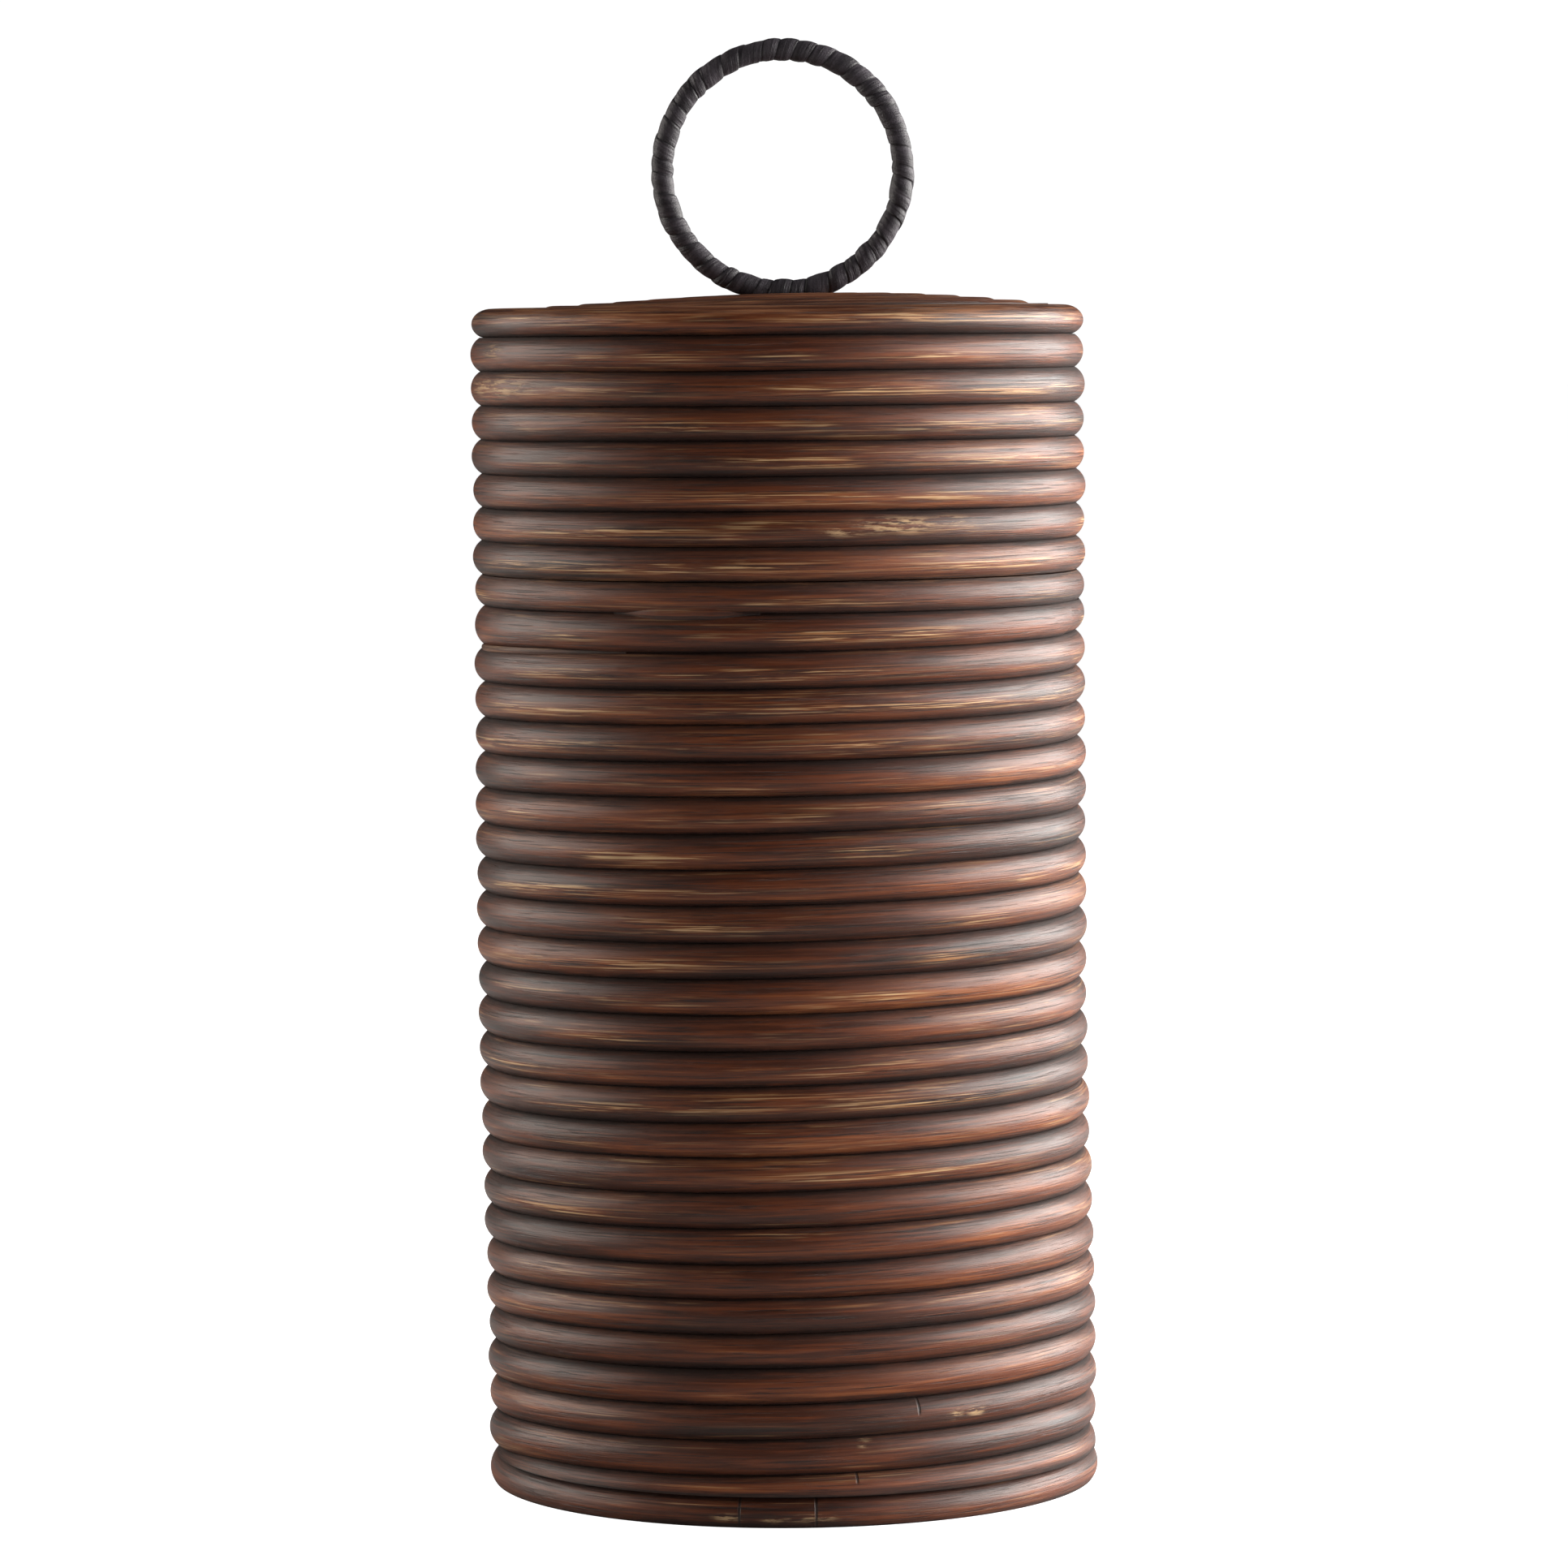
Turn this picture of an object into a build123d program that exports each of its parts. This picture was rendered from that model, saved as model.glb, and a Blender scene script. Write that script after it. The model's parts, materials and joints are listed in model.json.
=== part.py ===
"""Lidded canister wound from rattan pole, with a leather-bound ring handle on its lid.

The frame's origin is the middle of the underside, +Z is up and the handle's ring stands in the XZ
plane. The wall is one right-handed coil, spliced from several poles, between a level foot hoop and a
level rim hoop. The lid is a stack of level hoops closed by a domed flat spiral. Sizes are millimetres.
"""

from build123d import *
from math import hypot, pi
import os

os.makedirs("parts", exist_ok=True)

# Driving dimensions
outer_radius = 127.0
pole_radius = 8.2
coil_radius = outer_radius - pole_radius
glue_gap = 0.1  # left between glued round faces

foot_height = 12.6
coil_pitch = 14.55
coil_turns = 24.25  # from the foot hoop's top to the rim hoop's underside
coil_start_angle = 140.0  # where the coil rises out of the foot hoop, anticlockwise from +X
pole_ends = [0.03, 2.43, 8.0, 13.75, 19.8, 25.22]  # the splices along the coil, in turns
butt_gap = 0.1
rim_height = 12.2
rim_pole_radius = 7.7
rim_outer_radius = 126.0

lid_hoop_height = 13.92
lid_hoop_count = 7
shoulder_height = 12.0
shoulder_half_height = 6.3  # of the shoulder's pole, which is pressed oval
spiral_pitch = 13.5
spiral_half_turns = 15
dome_rise_per_turn = 1.35
dome_rise = 5.6

board_radius = 110.4
base_board_thickness = 9.0
liner_thickness = 3.0
lid_liner_thickness = 2.5
lid_liner_recess = 0.5
collar_thickness = 2.9
collar_depth = 40.0  # below the rim
collar_stand = 22.0  # above the rim, inside the lid
lead_in = 1.0

eye_radius = 18.0  # of the spiral, filled by the centre plug
plug_height = 16.4
handle_outer_radius = 54.3
handle_section_radius = 4.65
handle_base = 488.9
wrap_thickness = 1.0
groove_clearance = 0.1

stud_radius = 2.0
stud_hole_radius = 2.2
stud_bottom = 459.5
stud_in_ring = 3.4
washer_radius = 8.0
washer_thickness = 1.2
nut_across_flats = 7.0
nut_height = 3.2
nut_bore_radius = 2.05

brad_radius = 0.6
brad_head_radius = 1.1
brad_head_thickness = 0.6
brad_head_sink = 0.3
brad_length = 17.6
lid_brad_count = 12
lid_brad_offset = 25.0  # degrees
splice_brad_spread = 3.5  # degrees each side of a splice

# Levels
coil_height = coil_pitch * coil_turns
rim_base = foot_height + coil_height
parting_height = rim_base + rim_height
shoulder_base = parting_height + lid_hoop_height * lid_hoop_count
shoulder_top = shoulder_base + shoulder_height
lid_board_thickness = 9.0
lid_board_base = shoulder_base - lid_board_thickness
spiral_outer_radius = coil_radius - spiral_pitch / 2
liner_inner_radius = board_radius - liner_thickness
handle_ring_radius = handle_outer_radius - handle_section_radius
handle_centre = handle_base + handle_outer_radius
core_section_radius = handle_section_radius - wrap_thickness


def pole_section(radius, width, height):
    """A pole's round section with flats where it is pressed against its neighbours."""
    Circle(radius)
    Rectangle(width, height, mode=Mode.INTERSECT)


def level_hoop(base, height, radius, outside):
    """A pole bent to a level circle, flattened above and below."""
    with BuildPart() as hoop:
        with BuildSketch(Plane.XZ):
            with Locations((outside - radius, base + height / 2)):
                pole_section(radius, 2 * radius, height)
        revolve(axis=Axis.Z)
    return hoop.part


def tube(base, top, outside, inside):
    """A bent plywood tube between two levels."""
    with BuildPart() as wall:
        with BuildSketch(Plane.XY.offset(base)):
            Circle(outside)
            Circle(inside, mode=Mode.SUBTRACT)
        extrude(amount=top - base)
    return wall.part


def wound_pole(first_turn, last_turn):
    """The stretch of the wall's coil between two numbers of turns, wound from +X."""
    turns = last_turn - first_turn - butt_gap / (2 * pi * coil_radius)
    with BuildPart() as winding:
        with BuildLine() as centreline:
            Helix(coil_pitch, coil_pitch * turns, coil_radius)
        end = Plane(origin=centreline.line @ 0, x_dir=(1, 0, 0), z_dir=centreline.line % 0)
        with BuildSketch(end):
            pole_section(pole_radius, 2 * pole_radius, coil_pitch - glue_gap)
        sweep(path=centreline.line, is_frenet=True)
    return winding.part


def brads(angles, height_at):
    """Headed pins driven radially inwards, each at its own height."""
    with BuildPart() as pins:
        for angle in angles:
            direction = Vector(1, 0, 0).rotate(Axis.Z, angle)
            head = direction * (outer_radius - brad_head_sink) + Vector(0, 0, height_at(angle))
            with BuildSketch(Plane(origin=head, z_dir=-direction)):
                Circle(brad_head_radius)
            extrude(amount=brad_head_thickness)
            with BuildSketch(Plane(origin=head, z_dir=-direction)):
                Circle(brad_radius)
            extrude(amount=brad_length)
    return pins.part


# Foot: the lowest hoop, sanded flat to stand on, and the board inside it
with BuildPart() as foot_hoop:
    add(level_hoop(0, foot_height, pole_radius, outer_radius))
foot_hoop.part.label = "foot_hoop"
export_step(foot_hoop.part, "parts/foot_hoop.step")

with BuildPart() as base_board:
    with BuildSketch(Plane.XY.offset(foot_height - base_board_thickness)):
        Circle(board_radius)
    extrude(amount=base_board_thickness)
base_board.part.label = "base_board"
export_step(base_board.part, "parts/base_board.step")

# Wall: the coil's poles end to end. The first is scarfed onto the foot hoop and the last under the rim.
for number, (first_turn, last_turn) in enumerate(zip(pole_ends, pole_ends[1:]), start=1):
    winding = wound_pole(first_turn, last_turn)
    start_height = foot_height + coil_pitch * (first_turn - 0.5)
    start_angle = coil_start_angle + 360 * first_turn
    with BuildPart() as coil_pole:
        with Locations((0, 0, start_height)):
            add(winding, rotation=(0, 0, start_angle))
        if number == 1:
            split(bisect_by=Plane.XY.offset(foot_height), keep=Keep.TOP)
        if number == len(pole_ends) - 1:
            split(bisect_by=Plane.XY.offset(rim_base), keep=Keep.BOTTOM)
    coil_pole.part.label = f"coil_pole_{number}"
    export_step(coil_pole.part, f"parts/coil_pole_{number}.step")

with BuildPart() as rim_hoop:
    add(level_hoop(rim_base, rim_height, rim_pole_radius, rim_outer_radius))
rim_hoop.part.label = "rim_hoop"
export_step(rim_hoop.part, "parts/rim_hoop.step")

with BuildPart() as body_liner:
    add(tube(foot_height, parting_height, board_radius, liner_inner_radius))
body_liner.part.label = "body_liner"
export_step(body_liner.part, "parts/body_liner.step")

# Collar: stands above the rim and centres the lid, with a lead-in round its top
collar_radius = liner_inner_radius - glue_gap
with BuildPart() as locating_collar:
    add(
        tube(
            parting_height - collar_depth,
            parting_height + collar_stand,
            collar_radius,
            collar_radius - collar_thickness,
        )
    )
    top_edges = locating_collar.edges().group_by(Axis.Z)[-1]
    chamfer(top_edges.sort_by(SortBy.RADIUS)[-1], length=lead_in)
locating_collar.part.label = "locating_collar"
export_step(locating_collar.part, "parts/locating_collar.step")


def splice_height(angle):
    """The coil's centre height at a running angle, which counts whole turns as well."""
    return foot_height + coil_pitch * ((angle - coil_start_angle) / 360 - 0.5)


splice_angles = [
    coil_start_angle + 360 * turn + side
    for turn in pole_ends[1:-1]
    for side in (-splice_brad_spread, splice_brad_spread)
]
with BuildPart() as body_brads:
    add(brads(splice_angles, splice_height))
body_brads.part.label = "body_brads"
export_step(body_brads.part, "parts/body_brads.step")

# Lid wall: level hoops on a liner, with the shoulder's turn on top
for number in range(1, lid_hoop_count + 1):
    with BuildPart() as lid_hoop:
        hoop_base = parting_height + lid_hoop_height * (number - 1)
        add(level_hoop(hoop_base, lid_hoop_height, pole_radius, outer_radius))
    lid_hoop.part.label = f"lid_hoop_{number}"
    export_step(lid_hoop.part, f"parts/lid_hoop_{number}.step")

with BuildPart() as lid_shoulder_hoop:
    with BuildSketch(Plane.XZ):
        with Locations((coil_radius, shoulder_top - shoulder_half_height)):
            Ellipse(pole_radius, shoulder_half_height)
        with Locations((spiral_outer_radius + glue_gap / 2, shoulder_base)):
            Rectangle(
                2 * pole_radius,
                2 * pole_radius,
                align=(Align.MIN, Align.MIN),
                mode=Mode.INTERSECT,
            )
    revolve(axis=Axis.Z)
lid_shoulder_hoop.part.label = "lid_shoulder_hoop"
export_step(lid_shoulder_hoop.part, "parts/lid_shoulder_hoop.step")

with BuildPart() as lid_liner:
    add(
        tube(
            parting_height + lid_liner_recess,
            lid_board_base,
            board_radius,
            board_radius - lid_liner_thickness,
        )
    )
lid_liner.part.label = "lid_liner"
export_step(lid_liner.part, "parts/lid_liner.step")

with BuildPart() as lid_board:
    with BuildSketch(Plane.XY.offset(lid_board_base)):
        Circle(board_radius)
        Circle(stud_hole_radius, mode=Mode.SUBTRACT)
    extrude(amount=lid_board_thickness)
lid_board.part.label = "lid_board"
export_step(lid_board.part, "parts/lid_board.step")


def dome_height(radius):
    """The height of the spiral's centreline at a radius: it climbs inwards, then levels off."""
    climb = dome_rise_per_turn * (coil_radius - radius) / spiral_pitch
    return shoulder_top - pole_radius + min(climb, dome_rise)


def ring_bed():
    """What is cut away where the handle's ring beds into the lid's top."""
    with BuildPart() as bed:
        with Locations(Location((0, 0, handle_centre), (90, 0, 0))):
            Torus(handle_ring_radius, handle_section_radius + groove_clearance)
    return bed.part


# Top: a spiral of half circles, each smaller than the last by half a pitch and tilted up the dome,
# cut to the shoulder hoop outside, to the plug's eye inside and to the board below
with BuildPart() as whole_spiral:
    with BuildLine() as spiral_line:
        for half_turn in range(spiral_half_turns):
            side = 1 if half_turn % 2 == 0 else -1
            start_radius = coil_radius - half_turn * spiral_pitch / 2
            end_radius = start_radius - spiral_pitch / 2
            start = Vector(side * start_radius, 0, dome_height(start_radius))
            end = Vector(-side * end_radius, 0, dome_height(end_radius))
            reach = hypot(start.X - end.X, start.Z - end.Z) / 2
            ThreePointArc(start, (start + end) / 2 + Vector(0, side * reach, 0), end)
    with BuildSketch(Plane(origin=spiral_line.line @ 0, x_dir=(1, 0, 0), z_dir=(0, 1, 0))):
        pole_section(pole_radius, spiral_pitch - glue_gap, 2 * pole_radius)
    sweep(path=spiral_line.line)

with BuildPart() as lid_top_coil:
    add(whole_spiral.part)
    with BuildSketch(Plane.XY.offset(shoulder_base)):
        Circle(spiral_outer_radius - glue_gap / 2)
        Circle(eye_radius, mode=Mode.SUBTRACT)
    extrude(amount=2 * pole_radius + dome_rise, mode=Mode.INTERSECT)
    add(ring_bed(), mode=Mode.SUBTRACT)
lid_top_coil.part.label = "lid_top_coil"
export_step(lid_top_coil.part, "parts/lid_top_coil.step")

with BuildPart() as centre_plug:
    with BuildSketch(Plane.XY.offset(shoulder_base)):
        Circle(eye_radius - glue_gap)
        Circle(stud_hole_radius, mode=Mode.SUBTRACT)
    extrude(amount=plug_height)
    add(ring_bed(), mode=Mode.SUBTRACT)
centre_plug.part.label = "centre_plug"
export_step(centre_plug.part, "parts/centre_plug.step")

with BuildPart() as lid_brads:
    step = 360 / lid_brad_count
    lid_angles = [lid_brad_offset + step * number for number in range(lid_brad_count)]
    add(brads(lid_angles, lambda angle: parting_height + lid_hoop_height / 2))
lid_brads.part.label = "lid_brads"
export_step(lid_brads.part, "parts/lid_brads.step")

# Handle: a steel ring, drilled from below for its stud, inside a binding of leather strip
stud_top = handle_base + wrap_thickness + stud_in_ring
with BuildPart() as handle_ring:
    with Locations(Location((0, 0, handle_centre), (90, 0, 0))):
        Torus(handle_ring_radius, core_section_radius)
    with BuildSketch(Plane.XY.offset(handle_base)):
        Circle(stud_radius)
    extrude(amount=stud_top - handle_base, mode=Mode.SUBTRACT)
handle_ring.part.label = "handle_ring"
export_step(handle_ring.part, "parts/handle_ring.step")

with BuildPart() as handle_wrap:
    with Locations(Location((0, 0, handle_centre), (90, 0, 0))):
        Torus(handle_ring_radius, handle_section_radius)
        Torus(handle_ring_radius, core_section_radius, mode=Mode.SUBTRACT)
    with BuildSketch(Plane.XY.offset(handle_base - wrap_thickness)):
        Circle(stud_hole_radius)
    extrude(amount=2 * wrap_thickness + stud_in_ring, mode=Mode.SUBTRACT)
handle_wrap.part.label = "handle_wrap"
export_step(handle_wrap.part, "parts/handle_wrap.step")

with BuildPart() as handle_stud:
    with BuildSketch(Plane.XY.offset(stud_bottom)):
        Circle(stud_radius)
    extrude(amount=stud_top - stud_bottom)
handle_stud.part.label = "handle_stud"
export_step(handle_stud.part, "parts/handle_stud.step")

washer_base = lid_board_base - washer_thickness
with BuildPart() as stud_washer:
    with BuildSketch(Plane.XY.offset(washer_base)):
        Circle(washer_radius)
        Circle(stud_hole_radius, mode=Mode.SUBTRACT)
    extrude(amount=washer_thickness)
stud_washer.part.label = "stud_washer"
export_step(stud_washer.part, "parts/stud_washer.step")

with BuildPart() as stud_nut:
    with BuildSketch(Plane.XY.offset(washer_base - nut_height)):
        RegularPolygon(nut_across_flats / 2, 6, major_radius=False)
        Circle(nut_bore_radius, mode=Mode.SUBTRACT)
    extrude(amount=nut_height)
stud_nut.part.label = "stud_nut"
export_step(stud_nut.part, "parts/stud_nut.step")

print(f"parting line at {parting_height:.2f}, shoulder at {shoulder_top:.2f}")
print(f"overall height {handle_base + 2 * handle_outer_radius:.2f}")
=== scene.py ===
import json
import math

import bpy
import numpy as np
from mathutils import Euler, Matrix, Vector

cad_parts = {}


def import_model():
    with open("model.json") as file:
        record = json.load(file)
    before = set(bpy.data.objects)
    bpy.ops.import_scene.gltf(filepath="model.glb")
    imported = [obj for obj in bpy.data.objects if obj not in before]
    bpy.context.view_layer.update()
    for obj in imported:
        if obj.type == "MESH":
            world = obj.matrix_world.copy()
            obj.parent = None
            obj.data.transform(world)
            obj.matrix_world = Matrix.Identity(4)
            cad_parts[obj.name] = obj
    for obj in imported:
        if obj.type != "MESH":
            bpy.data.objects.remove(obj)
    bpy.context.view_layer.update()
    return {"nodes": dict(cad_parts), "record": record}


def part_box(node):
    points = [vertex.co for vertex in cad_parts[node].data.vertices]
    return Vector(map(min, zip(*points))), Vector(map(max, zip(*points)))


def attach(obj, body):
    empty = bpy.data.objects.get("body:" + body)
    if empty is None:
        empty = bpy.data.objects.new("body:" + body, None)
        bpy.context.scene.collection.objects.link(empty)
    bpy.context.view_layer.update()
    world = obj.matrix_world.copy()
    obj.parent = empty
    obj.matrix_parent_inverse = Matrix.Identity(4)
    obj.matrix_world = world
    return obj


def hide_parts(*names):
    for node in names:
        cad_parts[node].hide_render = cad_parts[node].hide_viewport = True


# A lidded canister wound from rattan pole. Every pole, hoop, the binding and the ring replace their
# plain solids from the frame; the boards, liners, fastenings and pins keep theirs.
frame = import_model()

TAU = 2 * math.pi
MM = 0.001

# Levels and radii read from the frame
foot_box, rim_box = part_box("foot_hoop"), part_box("rim_hoop")
OUTER = foot_box[1].x
FOOT_TOP = foot_box[1].z
RIM_BASE, PARTING = rim_box[0].z, rim_box[1].z
RIM_OUTER = rim_box[1].x
SHOULDER_BASE, SHOULDER_TOP = (corner.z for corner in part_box("lid_shoulder_hoop"))
BOARD_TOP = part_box("lid_board")[1].z
SPIRAL_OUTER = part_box("lid_top_coil")[1].x
SPIRAL_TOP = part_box("lid_top_coil")[1].z
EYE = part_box("centre_plug")[1].x
HANDLE_LOW, HANDLE_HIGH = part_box("handle_wrap")

# The wall's winding
POLE = 8.2 * MM  # radius of a pole
RIM_POLE = 7.7 * MM
COIL = OUTER - POLE  # radius of the coil's centreline
INSIDE = COIL - POLE  # radius of the wall's inner side
WINDING_TURNS = 24.25
PITCH = (RIM_BASE - FOOT_TOP) / WINDING_TURNS
START_ANGLE = math.radians(160)
LATE_START = 20 / 360  # turns from the start of the modelled coil to the start of its wedge here
TURN_STEPS = 300  # rings of points in each turn
LID_HOOPS = sum(name.startswith("lid_hoop_") for name in frame["nodes"])
HOOP_HEIGHT = (SHOULDER_BASE - PARTING) / LID_HOOPS

# The top's winding
SPIRAL_PITCH = 13.5 * MM
DOME_STEP = 1.35 * MM  # rise over one turn inwards


def drift(positions, spacing, seed, period=None):
    """Smooth random values from -1 to 1 that change over a distance of spacing."""
    count = int(math.ceil((period or float(np.max(positions)) + spacing) / spacing)) + 2
    knots = np.random.default_rng(seed).uniform(-1, 1, count)
    scaled = np.asarray(positions) / spacing
    if period:
        count = max(3, round(period / spacing))
        scaled = np.asarray(positions) / period * count
    cell = np.floor(scaled).astype(int)
    blend = scaled - cell
    blend = blend * blend * (3 - 2 * blend)
    return knots[cell % count] * (1 - blend) + knots[(cell + 1) % count] * blend


def ramp(value):
    """0 up to 0, 1 from 1 on, and smooth between."""
    value = np.clip(value, 0, 1)
    return value * value * (3 - 2 * value)


def make_mesh(name, points, faces, uvs, values):
    """A mesh object from quads, with a UV map called grain and float attributes on its points."""
    mesh = bpy.data.meshes.new(name)
    mesh.from_pydata(points.tolist(), [], faces)
    layer = mesh.uv_layers.new(name="grain")
    layer.data.foreach_set("uv", np.asarray(uvs, np.float32).ravel())
    for key, value in values.items():
        attribute = mesh.attributes.new(key, "FLOAT", "POINT")
        attribute.data.foreach_set("value", np.asarray(value, np.float32).ravel())
    mesh.shade_smooth()
    made = bpy.data.objects.new(name, mesh)
    bpy.context.scene.collection.objects.link(made)
    return made


def sweep_mesh(name, rings, along, across, values, closed):
    """A tube through rings of points, shaped (rings, points, 3). along and across are the grain's
    coordinates in metres. An open tube gets end caps."""
    ring_count, size = rings.shape[:2]
    last = ring_count if closed else ring_count - 1
    ring, point = np.meshgrid(np.arange(last), np.arange(size), indexing="ij")
    next_point = (point + 1) % size
    next_ring = (ring + 1) % ring_count
    corners = np.stack(
        [
            ring * size + point,
            next_ring * size + point,
            next_ring * size + next_point,
            ring * size + next_point,
        ],
        axis=-1,
    ).reshape(-1, 4)
    along_corner = np.stack([along[ring], along[ring + 1], along[ring + 1], along[ring]], axis=-1)
    far = np.append(across, across[0])
    across_corner = np.stack([far[point], far[point], far[point + 1], far[point + 1]], axis=-1)
    uvs = np.stack([along_corner, across_corner], axis=-1).reshape(-1, 2)
    points = rings.reshape(-1, 3)
    normal = np.cross(
        points[corners[:, 1]] - points[corners[:, 0]], points[corners[:, 3]] - points[corners[:, 0]]
    )
    centre = rings.mean(axis=1)[ring.ravel()]
    outward = np.einsum("ij,ij->i", normal, points[corners[:, 0]] - centre).sum() > 0
    if not outward:
        corners = corners[:, ::-1]
        uvs = uvs.reshape(-1, 4, 2)[:, ::-1].reshape(-1, 2)
    faces = corners.tolist()
    if not closed:
        start, end = list(range(size)), list(range((ring_count - 1) * size, ring_count * size))
        faces += [start[::-1], end] if outward else [start, end[::-1]]
        caps = np.zeros((2 * size, 2))
        caps[:size, 0], caps[size:, 0] = along[0], along[-1]
        caps[:, 1] = np.linspace(0, 3 * POLE, 2 * size)
        uvs = np.concatenate([uvs, caps])
    return make_mesh(name, points, faces, uvs, values)


def mark_sharp(made):
    """Keeps the shading crisp where a flat meets a round."""
    made.data.set_sharp_from_angle(angle=math.radians(38))
    return made


OUTER_STEPS = 18
INNER_STEPS = 5


def pole_section(low, high, centre, radius):
    """Points round a pole flattened at low and high. All four are arrays along the pole, measured
    across it. Returns the points' places across it and outwards from its centreline."""
    first = np.arcsin(np.clip((low - centre) / radius, -0.999, 0.999))
    last = np.arcsin(np.clip((high - centre) / radius, -0.999, 0.999))
    radius = radius[:, None]
    outside = np.linspace(0, 1, OUTER_STEPS + 1)
    inside = np.linspace(1, 0, INNER_STEPS + 1)
    outer_angle = first[:, None] + (last - first)[:, None] * outside
    inner_angle = first[:, None] + (last - first)[:, None] * inside
    across = centre[:, None] + radius * np.sin(np.concatenate([outer_angle, inner_angle], axis=1))
    out = np.concatenate([radius * np.cos(outer_angle), -radius * np.cos(inner_angle)], axis=1)
    return across, out


def section_grain():
    """The grain's coordinate round the section, in metres, the same at every ring."""
    reach = math.asin(0.88) * POLE
    outside = np.linspace(-reach, reach, OUTER_STEPS + 1)
    inside = np.linspace(reach + POLE, 3 * reach + POLE, INNER_STEPS + 1)
    return np.concatenate([outside, inside])


def seam_distance(across, low, high):
    """How far each point is from the nearer seam, in metres."""
    return np.minimum(across - low[:, None], high[:, None] - across)


def scuff_at(angle, height, marks):
    """How scuffed each point is, from marks of (angle, height, half length, half width, depth)."""
    total = np.zeros(np.broadcast(angle, height).shape)
    for mark_angle, mark_height, half_length, half_width, depth in marks:
        turn = (angle - mark_angle + math.pi) % TAU - math.pi
        far = (turn * OUTER / half_length) ** 2 + ((height - mark_height) / half_width) ** 2
        total = np.maximum(total, depth * np.exp(-far))
    return total


# Scuffs: angle, height, half length, half width and depth. Past a depth of 0.9 a scuff is bare.
SCUFFS = [
    (math.radians(292), PARTING + 1.60 * HOOP_HEIGHT, 17 * MM, 3.0 * MM, 1.0),
    (math.radians(303), PARTING + 1.70 * HOOP_HEIGHT, 9 * MM, 2.0 * MM, 0.7),
    (math.radians(282), PARTING + 1.42 * HOOP_HEIGHT, 9 * MM, 1.8 * MM, 0.8),
    (math.radians(301), 42.7 * MM, 2.5 * MM, 2.0 * MM, 1.15),
    (math.radians(305.5), 43.0 * MM, 3.5 * MM, 2.0 * MM, 1.15),
    (math.radians(283), 34.0 * MM, 2.0 * MM, 2.5 * MM, 0.9),
    (math.radians(258), 4.2 * MM, 5 * MM, 1.3 * MM, 1.3),
    (math.radians(266), 3.2 * MM, 4 * MM, 1.0 * MM, 1.2),
    (math.radians(273), 4.0 * MM, 9 * MM, 1.3 * MM, 1.3),
    (math.radians(205), SHOULDER_BASE - 1.45 * HOOP_HEIGHT, 30 * MM, 4.0 * MM, 0.8),
    (math.radians(204), SHOULDER_BASE - 0.4 * HOOP_HEIGHT, 9 * MM, 3.0 * MM, 0.7),
    (math.radians(263), PARTING + 0.55 * HOOP_HEIGHT, 6 * MM, 3.0 * MM, 0.25),
]

# Streaks where the crests are rubbed pale: angle in degrees, height and half length in millimetres
WORN = [
    (224, 482, 62), (302, 481, 60), (250, 466, 18), (302, 464, 27), (221, 454, 49), (314, 453, 67),
    (257, 441, 39), (317, 442, 70), (317, 427, 59), (281, 411, 82), (238, 397, 56), (304, 401, 30),
    (217, 385, 39), (265, 383, 27), (314, 383, 44), (228, 358, 16), (227, 341, 30), (267, 343, 61),
    (225, 327, 44), (302, 328, 110), (220, 313, 49), (282, 315, 46), (212, 284, 13), (287, 272, 18),
    (226, 253, 70), (254, 242, 28), (230, 225, 66), (302, 227, 14), (289, 211, 23), (235, 197, 25),
    (208, 180, 36), (287, 185, 17), (232, 168, 32), (296, 170, 43), (288, 142, 49), (222, 124, 42),
    (75, 470, 60), (120, 441, 50), (40, 412, 60), (100, 340, 80), (60, 300, 50), (140, 240, 60),
    (30, 215, 50), (90, 170, 40), (150, 130, 45), (350, 340, 40), (340, 250, 50), (5, 130, 45),
]
STREAKS = [(math.radians(angle), high * MM, half * MM, 6 * MM, 1.0) for angle, high, half in WORN]


FAR_FROM_JOINT = 5 * MM


def joint_distance(angle, joints):
    """The distance along a pole to its nearest joint, changing sign at each joint, in metres."""
    if not joints:
        return np.full(angle.shape, FAR_FROM_JOINT)
    apart = angle[:, None] - np.array(joints)
    near = np.minimum(np.abs(apart).min(axis=1) * OUTER, FAR_FROM_JOINT)
    return near * (-1.0) ** (apart > 0).sum(axis=1)


def wall_mesh(
    name, angle, low, high, centre, radius, outside, along, closed, edges=(False, False), joints=()
):
    """A pole bent round the wall. low, high and centre are heights; outside is its outermost radius.
    edges says whether its lower and upper edges are rubbed bright. joints are angles at which a joint
    shows, all the way across a closed hoop but only near the top of an open pole."""
    across, out = pole_section(low, high, centre, radius)
    reach = np.maximum((outside - radius)[:, None] + out, INSIDE)
    rings = np.stack(
        [reach * np.cos(angle)[:, None] + stray(across), reach * np.sin(angle)[:, None], across],
        axis=-1,
    )
    wear_and_top_light = np.zeros(across.shape)
    for wanted, distance in zip(edges, (across - low[:, None], high[:, None] - across)):
        if wanted:
            wear_and_top_light = np.maximum(wear_and_top_light, np.exp(-((distance / (1.3 * MM)) ** 2)))
    rise = np.clip((across - low[:, None]) / (high - low)[:, None], 0, 1)
    values = {
        "seam": seam_distance(across, low, high),
        "rise": rise,
        "worn": scuff_at(angle[:, None], across, STREAKS),
        "scuff": scuff_at(angle[:, None], across, SCUFFS),
        "wear_and_top_light": wear_and_top_light,
        "joint": joint_distance(angle, joints)[:, None] + 0 * across,
        "tick": np.ones(across.shape) if closed else ramp((rise - 0.5) / 0.12),
    }
    return mark_sharp(sweep_mesh(name, rings, along, section_grain(), values, closed))


# --- The wall's coil -------------------------------------------------------------------------------


def stray(height):
    """The wall leans: its foot stands a little to the right of its rim."""
    return 3.1 * MM * (1 - ramp((height - 0.04) / 0.17))


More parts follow.
